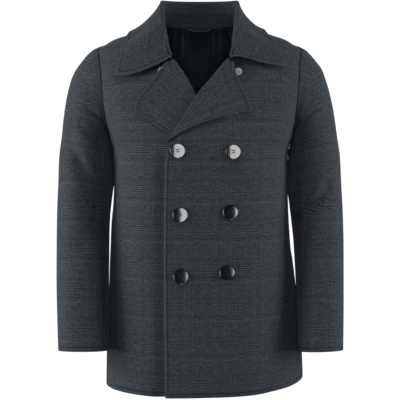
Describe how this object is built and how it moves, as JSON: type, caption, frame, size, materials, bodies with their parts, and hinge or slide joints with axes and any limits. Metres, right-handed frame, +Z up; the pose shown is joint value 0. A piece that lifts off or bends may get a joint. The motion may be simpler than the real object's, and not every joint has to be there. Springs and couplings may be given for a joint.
{
  "type": "pea coat",
  "caption": "Hip-length double-breasted coat in checked wool, worn form without a wearer: turned-down collar, wide lapels, buttoned front, long sleeves, open neck, hem and cuffs.",
  "frame": {"origin": "middle of the neck between the shoulders, at the height of the neck points, where the wearer's shoulders carry the coat", "axes": "+Z up, the front faces -Y, +X towards the wearer's left"},
  "size_m": [0.5983, 0.278, 0.8124],
  "materials": {
    "wool": "charcoal and blue-grey glen check wool, matt with a short nap",
    "lining": "near-black lining with a faint sheen",
    "button": "polished black",
    "neck_button": "satin silver-grey"
  },
  "bodies": {
    "root": {"back": "wool", "front_left": "wool", "front_right": "wool", "lapel_left": "wool", "lapel_right": "wool", "collar": "wool", "sleeve_left_upper": "wool", "sleeve_left_under": "wool", "sleeve_right_upper": "wool", "sleeve_right_under": "wool", "lining_back": "lining", "hanger_loop": "lining", "button_top_inner": "button", "button_top_outer": "button", "button_middle_inner": "button", "button_middle_outer": "button", "button_bottom_inner": "button", "button_bottom_outer": "button", "neck_button_left": "neck_button", "neck_button_right": "neck_button"}
  },
  "joints": []
}
